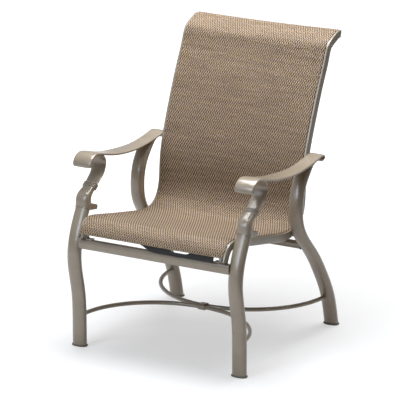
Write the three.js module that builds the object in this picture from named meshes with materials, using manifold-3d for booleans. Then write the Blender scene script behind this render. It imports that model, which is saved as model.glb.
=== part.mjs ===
// Sling patio dining armchair. Two tubular side frames with cast arm posts and forged arm straps,
// two cross stretchers, a pair of bow rods, and a woven sling held between two extruded rails.
// Millimetres, +Z up. The sitter faces -Y, so the sitter's left side is at +X.

import * as THREE from "three";
import { NURBSCurve } from "three/addons/curves/NURBSCurve.js";
import { mergeVertices } from "three/addons/utils/BufferGeometryUtils.js";
import Module from "manifold-3d";

const wasm = await Module();
wasm.setup();

// Overall sizes. The frame half width is measured to the middle plane of a side frame.
const frame_half_width = 302;
const foot_spread = 617;
const arm_height = 640;
const seat_height = 446;
const back_height = 988;

// Side frame tube, a wide oval set across the chair.
const tube_width = 50;
const tube_depth = 29;
const tube_wall = 2.5;
const tube_roundness = 2.4;
const weld_gap = 0.3;

// Foot caps.
const cap_height = 5;
const cap_overhang = 3;
const cap_bevel = 1.5;
const plug_length = 16;
const plug_clearance = 0.9;

// Stretchers between the legs.
const front_stretcher_height = 36;
const front_stretcher_depth = 25;
const rear_stretcher_height = 27;
const rear_stretcher_depth = 20;
const stretcher_wall = 2.5;
const stretcher_cope = 9;
const stretcher_roundness = 3.2;

// Bow rods near the floor and the clamp where they meet.
const rod_radius = 7;
const rod_inset = 6;
const rod_level = 105;
const rod_gap = 2;
const clamp_length = 24;
const clamp_wall = 2.4;
const clamp_clearance = 1;

// Arm strap, a forged flat bar with a crowned top.
const strap_thickness = 8;
const strap_crown = 1.6;
const strap_edge = 2.2;
const strap_width = 65;
const strap_front_width = 70;
const strap_rear_width = 54;

// Cast arm post and its ear.
const post_roundness = 2.5;
const spigot_length = 25;
const ear_length = 80;
const ear_thickness = 16;
const ear_root_height = 30;
const ear_tip_radius = 8.5;

// Sling rail, an extrusion with a keyhole slot in its front face and a hollow behind it.
const rail_width = 22;
const rail_depth = 26;
const rail_corner = 3;
const rail_wall = 2;
const rail_to_frame = 2;
const slot_setback = 9.5;
const slot_mouth = 3.2;
const slot_lip = 3;
const slot_bore_radius = 3.9;
const cord_radius = 3;
const rail_cap_thickness = 2.4;
const rail_cap_spigot = 8;
const rail_cap_clearance = 0.5;

// Sling cloth.
const cloth_thickness = 1.6;
const cloth_tongue = 3.6;
const cloth_gap = 0.3;
const seat_sag = 6;
const sling_inset_front = 14;
const sling_inset_top = 9;

// Spreader bars between the rails, with screws through the rails.
const spreader_radius = 11;
const spreader_wall = 2;
const spreader_insert = 20;
const screw_radius = 3;
const screw_head_radius = 5.5;
const screw_head_height = 2.6;
const screw_length = 34;
const hole_clearance = 0.4;

// Seat bolts that carry the rails on the rear legs.
const bolt_radius = 4;
const bolt_head_radius = 7;
const bolt_head_height = 4.5;
const spacer_radius = 9;
const nut_radius = 6.5;
const nut_height = 6;
const nut_setback = 4.8;

// Brackets that carry the rail noses on the front stretcher.
const bracket_sheet = 3;
const bracket_reach = 24;
const bracket_width = 17;
const bracket_rise = 20;

// Shared modelling sizes. The longest run and the overrun follow the tube.
const seat_gap = 0.3;
const run_share = 3;
const overrun_share = 1;
const longest_run = run_share * tube_width;
const overrun = overrun_share * tube_depth;
const turn_step = THREE.MathUtils.degToRad(8);
const line_samples = 400;
const spared_samples = 3;
const slot_facets = 9;

// Places along the chair, as shares of the foot spread from the front foot to the rear foot,
// paired with shares of the height that each line follows.
const front_leg_shares = [
  [0, 0], [0, 0.13], [0, 0.247], [-0.019, 0.336], [-0.042, 0.43],
  [-0.046, 0.51], [-0.019, 0.61], [0.0207, 0.6833], [0.0418, 0.7188],
];
const rear_leg_shares = [
  [1, 0], [0.982, 0.078], [0.957, 0.177], [0.862, 0.32], [0.775, 0.4375], [0.665, 0.537],
  [0.596, 0.627], [0.585, 0.712], [0.595, 0.8], [0.635, 0.875], [0.71, 0.945],
];
const post_line_shares = [
  [0.0495, 0.75], [0.05, 0.772], [0.063, 0.7915], [0.1, 0.811], [0.127, 0.83], [0.156, 0.853],
  [0.189, 0.875], [0.204, 0.909], [0.209, 0.944], [0.188, 0.97], [0.162, 0.982],
];
const strap_line_shares = [
  [0.0348, 0.939], [0.033, 0.958], [0.044, 0.98], [0.072, 0.9995], [0.11, 1.006], [0.156, 0.995],
  [0.227, 0.975], [0.324, 0.955], [0.454, 0.942], [0.583, 0.9375], [0.697, 0.95], [0.776, 0.963],
  [0.826, 0.974], [0.844, 0.942], [0.808, 0.93],
];
const seat_line_shares = [
  [-0.083, 0.865], [-0.0745, 0.908], [-0.04, 0.985], [0.034, 1.004], [0.176, 0.956], [0.357, 0.908],
  [0.502, 0.868], [0.62, 0.848], [0.7, 0.894],
];
const back_line_shares = [
  [0.737, 0.006], [0.738, 0.106], [0.752, 0.228], [0.791, 0.364], [0.853, 0.54], [0.924, 0.727],
  [0.977, 0.832], [1.005, 0.934], [1.041, 0.958], [1.094, 0.985], [1.136, 1.003], [1.159, 0.995],
];

// The cast post along its line: share of its length, then half width and half depth as shares of
// the tube's width and depth. Urn, three rings and the ribbon neck.
const post_profile_shares = [
  [0, 0.5, 0.545], [0.02, 0.506, 0.57], [0.06, 0.511, 0.597], [0.1, 0.511, 0.6],
  [0.14, 0.503, 0.59], [0.18, 0.485, 0.555], [0.23, 0.457, 0.5], [0.28, 0.436, 0.455],
  [0.343, 0.42, 0.41], [0.349, 0.5, 0.465], [0.366, 0.5, 0.465], [0.37, 0.468, 0.42],
  [0.374, 0.468, 0.42], [0.378, 0.5, 0.465], [0.395, 0.5, 0.465], [0.399, 0.468, 0.42],
  [0.403, 0.468, 0.42], [0.407, 0.5, 0.465], [0.424, 0.5, 0.465], [0.431, 0.462, 0.19],
  [0.5, 0.49, 0.15], [0.68, 0.525, 0.138], [0.85, 0.56, 0.138], [1, 0.6, 0.138],
];
const ear_root_share = 0.031;
const ear_slope = THREE.MathUtils.degToRad(-14.5);
const rear_stretcher_share = 0.7175;
const clamp_place_share = 0.462;
const spreader_place_shares = [0.1, 0.55, 0.93];
const strap_taper_shares = [0.12, 0.3, 0.45, 0.72];
const strap_trim_shares = [0.06, 0.9];
const seat_to_back_shares = [0.4, 0.6];
const sag_place_shares = [0.68, 0.34, 0, -0.34, -0.68];

// Colours read from the photograph, as sRGB.
const metal = { color: 0x9a8f84, roughness: 0.45, metalness: 0.55 };
const finishes = {
  frame_paint: metal,
  rail_paint: { color: 0x8f867b, roughness: 0.45, metalness: 0.55 },
  cap_plastic: { color: 0x6e655c, roughness: 0.6, metalness: 0 },
  sling_weave: { color: 0xa08d76, roughness: 0.9, metalness: 0 },
  cord_vinyl: { color: 0x4b443d, roughness: 0.7, metalness: 0 },
  fastener_steel: { color: 0xb4b4b2, roughness: 0.35, metalness: 0.9 },
};

const across_axis = new THREE.Vector3(1, 0, 0);
const forward_axis = new THREE.Vector3(0, -1, 0);
const up_axis = new THREE.Vector3(0, 0, 1);

// A smooth line in the side plane through a clamped cubic control polygon.
function side_line(points) {
  const degree = 3;
  const inner = points.length - degree - 1;
  const knots = [
    ...Array(degree + 1).fill(0),
    ...Array.from({ length: inner }, (_, i) => (i + 1) / (inner + 1)),
    ...Array(degree + 1).fill(1),
  ];
  return new NURBSCurve(degree, knots, points.map(([y, z]) => new THREE.Vector4(0, y, z, 1)));
}

function share_points(shares, low, high) {
  return shares.map(([y_share, z_share]) => [
    y_share * foot_spread,
    low + z_share * (high - low),
  ]);
}

// The line parameter at a distance from the line's start, or from its end when negative.
function share_at(line, distance) {
  const whole = line.getLength();
  return line.getUtoTmapping(0, distance < 0 ? whole + distance : distance);
}

// Parameters along a line, close together where it turns and far apart where it is straight.
function shares_along(line, from = 0, to = 1, marks = []) {
  const shares = [from];
  let tangent = line.getTangent(from);
  let spot = line.getPoint(from);
  for (let i = 1; i < line_samples; i += 1) {
    const share = from + ((to - from) * i) / line_samples;
    const next = line.getTangent(share);
    const place = line.getPoint(share);
    if (tangent.angleTo(next) > turn_step || spot.distanceTo(place) > longest_run) {
      shares.push(share);
      tangent = next;
      spot = place;
    }
  }
  const near = ((to - from) / line_samples) * spared_samples;
  const fixed = [from, ...marks.filter((mark) => mark > from && mark < to), to];
  const free = shares.filter((share) => !fixed.some((mark) => Math.abs(mark - share) < near));
  return [...free, ...fixed].sort((a, b) => a - b);
}

// A station holds a place and the two directions that a section is drawn in. In a side frame
// "out" points to the sitter's side of the line.
function side_station(line, share, side, x = frame_half_width) {
  const tangent = line.getTangent(share);
  return {
    at: line.getPoint(share).setX(side * x),
    across: across_axis.clone().multiplyScalar(side),
    out: new THREE.Vector3(0, -tangent.z, tangent.y),
  };
}

// The same section slid along the line until it lies level, for a tube end that meets a cap.
function level_station(line, share, side) {
  const tangent = line.getTangent(share);
  const station = side_station(line, share, side);
  station.out = forward_axis.clone().divideScalar(tangent.z);
  return station;
}

function oval(half_width, half_depth, roundness, count = 16) {
  return Array.from({ length: count }, (_, i) => {
    const angle = (i / count) * Math.PI * 2;
    const c = Math.cos(angle);
    const s = Math.sin(angle);
    return new THREE.Vector2(
      half_width * Math.sign(c) * Math.abs(c) ** (2 / roundness),
      half_depth * Math.sign(s) * Math.abs(s) ** (2 / roundness),
    );
  });
}

// A bore is a loop that runs the other way round.
function bore(points) {
  return points.slice().reverse();
}

function face_out(geometry) {
  const spot = geometry.getAttribute("position");
  const order = geometry.getIndex().array;
  const [a, b, c] = [new THREE.Vector3(), new THREE.Vector3(), new THREE.Vector3()];
  let volume = 0;
  for (let i = 0; i < order.length; i += 3) {
    a.fromBufferAttribute(spot, order[i]);
    b.fromBufferAttribute(spot, order[i + 1]);
    c.fromBufferAttribute(spot, order[i + 2]);
    volume += a.dot(b.cross(c));
  }
  if (volume < 0) {
    for (let i = 0; i < order.length; i += 3) {
      [order[i], order[i + 1]] = [order[i + 1], order[i]];
    }
  }
  return geometry;
}

// A closed body through sections. Each section is a list of loops: the outline, then any bores.
function loft(stations, section_at) {
  const spots = [];
  const faces = [];
  const sections = stations.map((_, i) => section_at(i));
  const rows = stations.map((station, i) => sections[i].map((loop) => loop.map((p) => {
    const spot = station.at.clone().addScaledVector(station.across, p.x);
    spots.push(...spot.addScaledVector(station.out, p.y).toArray());
    return spots.length / 3 - 1;
  })));
  rows.slice(1).forEach((row, i) => row.forEach((loop, l) => loop.forEach((d, k) => {
    const next = (k + 1) % loop.length;
    const a = rows[i][l][k];
    const b = rows[i][l][next];
    faces.push(a, b, loop[next], a, loop[next], d);
  })));
  [0, rows.length - 1].forEach((end) => {
    const ids = rows[end].flat();
    const [outline, ...bores] = sections[end];
    THREE.ShapeUtils.triangulateShape(outline, bores).forEach(([a, b, c]) => {
      faces.push(...(end === 0 ? [ids[c], ids[b], ids[a]] : [ids[a], ids[b], ids[c]]));
    });
  });
  const geometry = new THREE.BufferGeometry();
  geometry.setAttribute("position", new THREE.Float32BufferAttribute(spots, 3));
  geometry.setIndex(faces);
  return face_out(geometry);
}

function to_solid(geometry) {
  const bare = geometry.clone();
  bare.deleteAttribute("normal");
  bare.deleteAttribute("uv");
  const merged = mergeVertices(bare);
  const order = merged.getIndex().array;
  const kept = [];
  for (let i = 0; i < order.length; i += 3) {
    const [a, b, c] = order.slice(i, i + 3);
    if (a !== b && b !== c && c !== a) kept.push(a, b, c);
  }
  return new wasm.Manifold(new wasm.Mesh({
    numProp: 3,
    vertProperties: new Float32Array(merged.getAttribute("position").array),
    triVerts: new Uint32Array(kept),
  }));
}

function to_geometry(solid) {
  const mesh = solid.getMesh();
  const geometry = new THREE.BufferGeometry();
  geometry.setAttribute("position", new THREE.Float32BufferAttribute(mesh.vertProperties, 3));
  geometry.setIndex(Array.from(mesh.triVerts));
  return geometry;
}

function cut(geometry, ...tools) {
  const whole = to_solid(geometry);
  return to_geometry(tools.reduce((solid, tool) => solid.subtract(to_solid(tool)), whole));
}

// A round bar across the chair between two places in X, at a place in the side plane.
function cross_pin(radius, x_from, x_to, y, z, count = 12) {
  const pin = new THREE.CylinderGeometry(radius, radius, Math.abs(x_to - x_from), count);
  pin.rotateZ(Math.PI / 2);
  pin.translate((x_from + x_to) / 2, y, z);
  return pin;
}

// A headed or plain turned piece whose axis runs across the chair. The profile holds a radius and
// a distance from "from" towards the side that "way" points to.
function turned(profile, from, way, y, z, count = 12) {
  const geometry = new THREE.LatheGeometry(profile.map(([r, d]) => new THREE.Vector2(r, d)), count);
  geometry.rotateZ((-way * Math.PI) / 2);
  geometry.translate(from, y, z);
  return face_out(to_geometry(to_solid(geometry)));
}

const chair = new THREE.Group();

function add(name, geometry, finish) {
  const mesh = new THREE.Mesh(geometry, new THREE.MeshStandardMaterial(finishes[finish]));
  mesh.name = name;
  chair.add(mesh);
}

const sides = [["left", 1], ["right", -1]];

// Lines of the side frame. The arm post starts on the end of the front leg, along its direction.
const leg_base = cap_height + seat_gap;
const front_leg_line = side_line(share_points(front_leg_shares, leg_base, arm_height));
const rear_leg_line = side_line(share_points(rear_leg_shares, leg_base, arm_height));
const strap_line = side_line(share_points(strap_line_shares, 0, arm_height));
const post_base = front_leg_line.getPoint(1);
const post_start = post_base.clone().addScaledVector(front_leg_line.getTangent(1), ear_tip_radius);
const post_line = side_line([
  [post_base.y, post_base.z],
  [post_start.y, post_start.z],
  ...share_points(post_line_shares, 0, arm_height),
]);
const rail_line = side_line([
  ...share_points(seat_line_shares, 0, seat_height),
  ...share_points(back_line_shares, seat_height, back_height),
]);

// Leg tubes.
const leg_inner_x = frame_half_width - tube_width / 2;
const tube_outline = oval(tube_width / 2, tube_depth / 2, tube_roundness);
const tube_bore = oval(tube_width / 2 - tube_wall, tube_depth / 2 - tube_wall, tube_roundness);
const leg_envelope = oval(tube_width / 2 + weld_gap, tube_depth / 2 + weld_gap, tube_roundness);

const spigot_tip = share_at(front_leg_line, -spigot_length);
const front_leg = {
  line: front_leg_line,
  stops: shares_along(front_leg_line, 0, 1, [spigot_tip]),
};
const rear_leg = { line: rear_leg_line, stops: shares_along(rear_leg_line) };

function leg_stations({ line, stops }, side) {
  const [first, ...rest] = stops;
  return [level_station(line, first, side), ...rest.map((share) => side_station(line, share, side))];
}

function leg_tube(leg, side) {
  return loft(leg_stations(leg, side), () => [tube_outline, bore(tube_bore)]);
}

// The space that a leg takes up, with its weld gap round the tube and past its upper end.
function leg_block(leg, side) {
  const stations = leg_stations(leg, side);
  const end = { ...stations.at(-1) };
  end.at = end.at.clone().addScaledVector(leg.line.getTangent(1), seat_gap);
  return loft([...stations, end], () => [leg_envelope]);
}

// Foot cap: a bevelled flange under the tube and a plug that follows the tube's lean.
function foot_cap({ line }, side) {
  const tangent = line.getTangent(0);
  const lean = tangent.y / tangent.z;
  const flange = tube_width / 2 + cap_overhang;
  const flange_depth = tube_depth / 2 / tangent.z + cap_overhang;
  const plug = tube_width / 2 - tube_wall - plug_clearance;
  const plug_depth = (tube_depth / 2 - tube_wall) / tangent.z - plug_clearance;
  const plug_top = cap_height + plug_length;
  const rings = [
    [0, flange - cap_bevel, flange_depth - cap_bevel, 0],
    [cap_bevel, flange, flange_depth, 0],
    [cap_height, flange, flange_depth, 0],
    [cap_height, plug, plug_depth, 0],
    [plug_top, plug, plug_depth, plug_length],
  ];
  const stations = rings.map(([z, , , rise]) => ({
    at: new THREE.Vector3(side * frame_half_width, line.getPoint(0).y + rise * lean, z),
    across: across_axis,
    out: forward_axis,
  }));
  return loft(stations, (i) => [oval(rings[i][1], rings[i][2], tube_roundness)]);
}

// Arm strap. Its line is the top surface. The bar is wider over the front scroll and narrows
// beside the rail.
function strap_half_width(share) {
  const [start, end, rear_start, rear_end] = strap_taper_shares;
  const front = THREE.MathUtils.smoothstep(share, start, end);
  const rear = THREE.MathUtils.smoothstep(share, rear_start, rear_end);
  const width = THREE.MathUtils.lerp(strap_front_width, strap_width, front);
  return THREE.MathUtils.lerp(width, strap_rear_width, rear) / 2;
}

function strap_section(half) {
  return [
    [half, -strap_thickness / 2], [half - strap_edge, -strap_crown],
    [half / 2, -strap_crown / 4], [-half / 2, -strap_crown / 4],
    [strap_edge - half, -strap_crown], [-half, -strap_thickness / 2],
    [strap_edge - half, -strap_thickness], [half - strap_edge, -strap_thickness],
  ].map(([x, y]) => new THREE.Vector2(x, y));
}

const strap_shares = shares_along(strap_line);

function arm_strap(side) {
  const stations = strap_shares.map((share) => side_station(strap_line, share, side));
  return loft(stations, (i) => [strap_section(strap_half_width(strap_shares[i]))]);
}

// The space that the strap's underside keeps clear, used to trim what is welded to it.
function strap_trimmer(side) {
  const half = strap_front_width;
  const low = -strap_thickness - weld_gap;
  const high = low + overrun;
  const block = [[half, low], [half, high], [-half, high], [-half, low]];
  const [start, end] = strap_trim_shares;
  const shares = strap_shares.filter((share) => share > start && share < end);
  const stations = shares.map((share) => side_station(strap_line, share, side));
  return loft(stations, () => [block.map(([x, y]) => new THREE.Vector2(x, y))]);
}

// Cast arm post: a spigot inside the leg, then the turned-looking profile along its own line, and
// an ear that slopes down behind the urn.
function post_section(share) {
  const shares = post_profile_shares;
  const next = Math.max(1, shares.findIndex(([place]) => place >= share));
  const [place_a, width_a, depth_a] = shares[next - 1];
  const [place_b, width_b, depth_b] = shares[next];
  const blend = THREE.MathUtils.clamp((share - place_a) / (place_b - place_a), 0, 1);
  const width = THREE.MathUtils.lerp(width_a, width_b, blend) * tube_width;
  const depth = THREE.MathUtils.lerp(depth_a, depth_b, blend) * tube_depth;
  return oval(width, depth, post_roundness);
}

function arm_post(side) {
  const length = post_line.getLength();
  const marks = post_profile_shares.map(([place]) => post_line.getUtoTmapping(place));
  const shares = shares_along(post_line, share_at(post_line, seat_gap), 1, marks);
  const spigot_half = tube_width / 2 - tube_wall - plug_clearance;
  const spigot_depth = tube_depth / 2 - tube_wall - plug_clearance;
  const spigot = oval(spigot_half, spigot_depth, tube_roundness);
  const inner = front_leg.stops.filter((share) => share >= spigot_tip);
  const stations = [
    ...inner.map((share) => side_station(front_leg_line, share, side)),
    ...shares.map((share) => side_station(post_line, share, side)),
  ];
  const sections = [
    ...inner.map(() => spigot),
    ...shares.map((share) => post_section(line_place(post_line, share) / length)),
  ];
  const body = loft(stations, (i) => [sections[i]]);
  const ear = to_solid(cut(post_ear(side), leg_block(front_leg, side)));
  const joined = to_solid(body).add(ear);
  return to_geometry(joined.subtract(to_solid(strap_trimmer(side))));
}

// The distance along a line up to one of its parameters.
function line_place(line, share) {
  const lengths = line.getLengths(line_samples);
  const step = share * line_samples;
  const low = Math.min(Math.floor(step), line_samples - 1);
  return THREE.MathUtils.lerp(lengths[low], lengths[low + 1], step - low);
}

function post_ear(side) {
  const root = ear_root_height / 2;
  const reach = ear_length - ear_tip_radius;
  const shape = new THREE.Shape();
  shape.moveTo(0, -root);
  shape.lineTo(reach, -ear_tip_radius);
  shape.absarc(reach, 0, ear_tip_radius, -Math.PI / 2, Math.PI / 2, false);
  shape.lineTo(0, root);
  const ear = new THREE.ExtrudeGeometry(shape, {
    depth: ear_thickness,
    bevelEnabled: false,
    curveSegments: 8,
  });
  const base = post_line.getPointAt(ear_root_share);
  ear.translate(0, 0, -ear_thickness / 2);
  ear.rotateZ(ear_slope);
  ear.rotateY(Math.PI / 2);
  ear.rotateX(Math.PI / 2);
  ear.translate(side * frame_half_width, base.y, base.z);
  return ear;
}

// Cross stretchers, coped to the legs that they are welded to.
function cross_tube(height, depth, y, z, leg) {
  const reach = leg_inner_x + stretcher_cope;
  const stations = [1, -1].map((side) => ({
    at: new THREE.Vector3(side * reach, y, z),
    across: forward_axis,
    out: up_axis,
  }));
  const outline = oval(depth / 2, height / 2, stretcher_roundness);
  const inside = [depth, height].map((size) => size / 2 - stretcher_wall);
  const hollow = oval(...inside, stretcher_roundness);
  const tube = loft(stations, () => [outline, bore(hollow)]);
  return cut(tube, leg_block(leg, 1), leg_block(leg, -1));
}

// The point of a line in the side plane that lies at a height.
function point_at_level(line, level) {
  const points = line.getPoints(line_samples);
  return points.reduce((best, p) => (Math.abs(p.z - level) < Math.abs(best.z - level) ? p : best));
}

// Bow rods: half ovals in a level plane. Each leaves its legs along Y, and their middles run side
// by side through the clamp.
function bow_rod(leg, way, middle) {
  const root = point_at_level(leg.line, rod_level);
  const start = root.y + (way * tube_depth) / 2;
  const bow = Math.abs(middle - start);
  const reach = frame_half_width - rod_inset;
  const steps = Math.round(Math.PI / turn_step);
  const stations = [];
  for (let i = -1; i <= steps + 1; i += 1) {
    const angle = THREE.MathUtils.clamp(i / steps, 0, 1) * Math.PI;
    const inside = i < 0 || i > steps;
    const x = reach * Math.cos(angle);
    const y = inside ? root.y : start + way * bow * Math.sin(angle);
    const run = new THREE.Vector3(
      -reach * Math.sin(angle),
      way * bow * Math.cos(angle),
      0,
    ).normalize();
    stations.push({
      at: new THREE.Vector3(x, y, rod_level),
      across: new THREE.Vector3(-run.y, run.x, 0),
      out: up_axis,
    });
  }
  const rod = loft(stations, () => [oval(rod_radius, rod_radius, 2, 8)]);
  return cut(rod, leg_block(leg, 1), leg_block(leg, -1));
}

function stadium(half_length, radius, count = 6) {
  return Array.from({ length: 2 * (count + 1) }, (_, i) => {
    const end = i <= count ? 1 : -1;
    const angle = ((i - (end > 0 ? 0 : 1)) / count - 0.5) * Math.PI;
    return new THREE.Vector2(end * half_length + radius * Math.cos(angle), radius * Math.sin(angle));
  });
}

function rod_clamp(y) {
  const reach = rod_radius + rod_gap / 2;
  const stations = [1, -1].map((side) => ({
    at: new THREE.Vector3((side * clamp_length) / 2, y, rod_level),
    across: forward_axis,
    out: up_axis,
  }));
  const hole = rod_radius + clamp_clearance;
  return loft(stations, () => [stadium(reach, hole + clamp_wall), bore(stadium(reach, hole))]);
}

// Sling rails. Sections run inward from the rail's outer face and back from its front face.
const rail_outer_x = frame_half_width - tube_width / 2 - rail_to_frame;
const rail_inner_x = rail_outer_x - rail_width;
const slot_x = rail_outer_x - slot_setback;
const slot_half = slot_mouth / 2;
const slot_bore_depth = slot_lip + Math.sqrt(slot_bore_radius ** 2 - slot_half ** 2);
const hollow_front = slot_bore_depth + slot_bore_radius + rail_wall;
const hollow_back = rail_depth - rail_wall;
const rail_axis_depth = (hollow_front + hollow_back) / 2;

const rail_start = share_at(rail_line, rail_cap_thickness + seat_gap);
const rail_end = share_at(rail_line, -rail_cap_thickness - seat_gap);
const cloth_start = share_at(rail_line, sling_inset_front);
const cloth_end = share_at(rail_line, -sling_inset_top);
const rail_shares = shares_along(rail_line, rail_start, rail_end, [cloth_start, cloth_end]);
const cloth_shares = rail_shares.filter((share) => share >= cloth_start && share <= cloth_end);

function rail_station(share, side) {
  const station = side_station(rail_line, share, side, rail_outer_x);
  station.across = across_axis.clone().multiplyScalar(-side);
  return station;
}

function chamfered(left, right, low, high, corner) {
  return [
    [right, high - corner], [right - corner, high], [left + corner, high], [left, high - corner],
    [left, low + corner], [left + corner, low], [right - corner, low], [right, low + corner],
  ].map(([x, y]) => new THREE.Vector2(x, y));
}

const rail_outline = chamfered(0, rail_width, -rail_depth, 0, rail_corner);

function rail_section() {
  const lip_angle = Math.acos(slot_half / slot_bore_radius);
  const sweep = 2 * Math.PI - (Math.PI - 2 * lip_angle);
  const keyhole = Array.from({ length: slot_facets }, (_, i) => {
    const angle = lip_angle - (sweep * i) / (slot_facets - 1);
    return new THREE.Vector2(
      slot_setback + slot_bore_radius * Math.cos(angle),
      -slot_bore_depth + slot_bore_radius * Math.sin(angle),
    );
  });
  const mouth = [slot_half, -slot_half].map((x) => new THREE.Vector2(slot_setback + x, 0));
  const outline = [
    ...rail_outline.slice(0, 2), mouth[0], ...keyhole, mouth[1], ...rail_outline.slice(2),
  ];
  const hollow = [
    [rail_wall, -hollow_front], [rail_width - rail_wall, -hollow_front],
    [rail_width - rail_wall, -hollow_back], [rail_wall, -hollow_back],
  ].map(([x, y]) => new THREE.Vector2(x, y));
  return [outline, hollow];
}

function sling_rail(side, pin_places) {
  const stations = rail_shares.map((share) => rail_station(share, side));
  const rail = loft(stations, rail_section);
  const pins = pin_places.map(({ radius, y, z }) => cross_pin(
    radius + hole_clearance,
    side * (rail_inner_x - overrun),
    side * (rail_outer_x + overrun),
    y,
    z,
  ));
  return cut(rail, ...pins);
}

// The middle of the rail's hollow in the side plane, where pins and bolts cross it.
function rail_axis_point(share) {
  const station = side_station(rail_line, share, 1);
  return station.at.addScaledVector(station.out, -rail_axis_depth).setX(0);
}

// End caps: a plate over the extrusion's end and a spigot in its hollow.
function rail_cap(side, at_top) {
  const way = at_top ? -1 : 1;
  const edge = at_top ? 1 : 0;
  const seat = share_at(rail_line, way * rail_cap_thickness);
  const tip = share_at(rail_line, way * (rail_cap_thickness + rail_cap_spigot));
  const inset = rail_wall + rail_cap_clearance;
  const spigot = chamfered(
    inset,
    rail_width - inset,
    rail_cap_clearance - hollow_back,
    -hollow_front - rail_cap_clearance,
    rail_cap_clearance,
  );
  const sections = [rail_outline, rail_outline, spigot, spigot];
  const stations = [edge, seat, seat, tip].map((share) => rail_station(share, side));
  return loft(stations, (i) => [sections[i]]);
}

// Spline cord in the keyhole, behind the tongue of the cloth.
function spline_cord(side) {
  const depth = slot_bore_depth + (slot_bore_radius - cord_radius) / 2;
  const shape = oval(cord_radius, cord_radius, 2, 6);
  const section = shape.map((p) => new THREE.Vector2(p.x + slot_setback, p.y - depth));
  const stations = rail_shares.map((share) => rail_station(share, side));
  return loft(stations, () => [section]);
}

// The sling: one sheet over both rail fronts, with an edge tongue down each slot. Between the
// rails it sags, most over the seat.
function cloth_section(share) {
  const blend = THREE.MathUtils.smoothstep(share, ...seat_to_back_shares);
  const sag = seat_sag * (1 - blend / 2);
  const half = cloth_thickness / 2;
  const top = cloth_gap + cloth_thickness;
  const skin = (lift, edge) => [
    [edge, lift],
    [rail_inner_x, lift],
    ...sag_place_shares.map((place) => [place * rail_inner_x, lift - sag * (1 - place ** 2)]),
    [-rail_inner_x, lift],
    [-edge, lift],
  ];
  return [
    [slot_x + half, -cloth_tongue],
    ...skin(top, slot_x + half),
    [-slot_x - half, -cloth_tongue],
    [half - slot_x, -cloth_tongue],
    ...skin(cloth_gap, slot_x - half).reverse(),
    [slot_x - half, -cloth_tongue],
  ].map(([x, y]) => new THREE.Vector2(x, y));
}

function sling() {
  const stations = cloth_shares.map((share) => side_station(rail_line, share, 1, 0));
  return loft(stations, (i) => [cloth_section(cloth_shares[i])]);
}

// Spreader bar: a tube with an insert at each end that takes a screw.
function spreader_bar({ y, z }) {
  const length = 2 * (rail_inner_x - seat_gap);
  const hole = screw_radius + weld_gap;
  const inside = spreader_radius - spreader_wall;
  const profile = [
    [hole, 0], [spreader_radius, 0], [spreader_radius, length], [hole, length],
    [hole, length - spreader_insert], [inside, length - spreader_insert],
    [inside, spreader_insert], [hole, spreader_insert], [hole, 0],
  ];
  return turned(profile, -length / 2, 1, y, z);
}

function headed_pin(head_radius, head_height, radius, length) {
  return [[0, 0], [head_radius, 0], [head_radius, head_height], [radius, head_height],
    [radius, head_height + length], [0, head_height + length]];
}

function ring(inner, outer, height) {
  return [[inner, 0], [outer, 0], [outer, height], [inner, height], [inner, 0]];
}

// Where the rail's axis crosses the rear leg in the side plane.
function rail_crossing() {
  const leg = rear_leg_line.getPoints(line_samples);
  let best = { gap: Infinity };
  for (let i = 0; i <= line_samples; i += 1) {
    const point = rail_axis_point(i / line_samples);
    const gap = Math.min(...leg.map((p) => Math.hypot(p.y - point.y, p.z - point.z)));
    if (gap < best.gap && i < line_samples / 2) best = { gap, y: point.y, z: point.z };
  }
  return best;
}

// Nose bracket: an angle that stands on the front stretcher against the rail's inner face.
function nose_bracket(side, y, z) {
  const stations = [-1, 1].map((end) => ({
    at: new THREE.Vector3(side * (rail_inner_x - seat_gap), y + (end * bracket_width) / 2, z),
    across: across_axis.clone().multiplyScalar(-side),
    out: up_axis,
  }));
  const angle = [
    [0, 0], [bracket_reach, 0], [bracket_reach, bracket_sheet],
    [bracket_sheet, bracket_sheet], [bracket_sheet, bracket_rise], [0, bracket_rise],
  ].map(([x, w]) => new THREE.Vector2(x, w));
  return loft(stations, () => [angle]);
}

// Assembly of the side frames.
const bolt_place = rail_crossing();
const spreader_names = ["seat", "lumbar", "top"];
const spreader_places = spreader_place_shares.map((share) => (
  rail_axis_point(rail_line.getUtoTmapping(share))
));

sides.forEach(([name, side]) => {
  const bolt_hole = cross_pin(
    bolt_radius + hole_clearance,
    side * (leg_inner_x - overrun),
    side * (leg_inner_x + nut_setback + tube_wall),
    bolt_place.y,
    bolt_place.z,
  );
  add(`front_leg_${name}`, leg_tube(front_leg, side), "frame_paint");
  const rear_tube = cut(leg_tube(rear_leg, side), strap_trimmer(side), bolt_hole);
  add(`rear_leg_${name}`, rear_tube, "frame_paint");
  add(`arm_post_${name}`, arm_post(side), "frame_paint");
  add(`arm_strap_${name}`, arm_strap(side), "frame_paint");
  add(`foot_cap_front_${name}`, foot_cap(front_leg, side), "cap_plastic");
  add(`foot_cap_rear_${name}`, foot_cap(rear_leg, side), "cap_plastic");
});

// Assembly of the cross pieces. The front stretcher lies under the rail noses.
const nose = rail_station(0, 1);
const nose_corner = nose.at.clone().addScaledVector(nose.out, -rail_depth);
const front_top = nose_corner.z - seat_gap;
const front_y = nose_corner.y;
const rear_point = point_at_level(rear_leg_line, rear_stretcher_share * seat_height);
const front_level = front_top - front_stretcher_height / 2;
add("front_stretcher", cross_tube(
  front_stretcher_height,
  front_stretcher_depth,
  front_y,
  front_level,
  front_leg,
), "frame_paint");
add("rear_stretcher", cross_tube(
  rear_stretcher_height,
  rear_stretcher_depth,
  rear_point.y - rail_to_frame,
  rear_point.z,
  rear_leg,
), "frame_paint");

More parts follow.
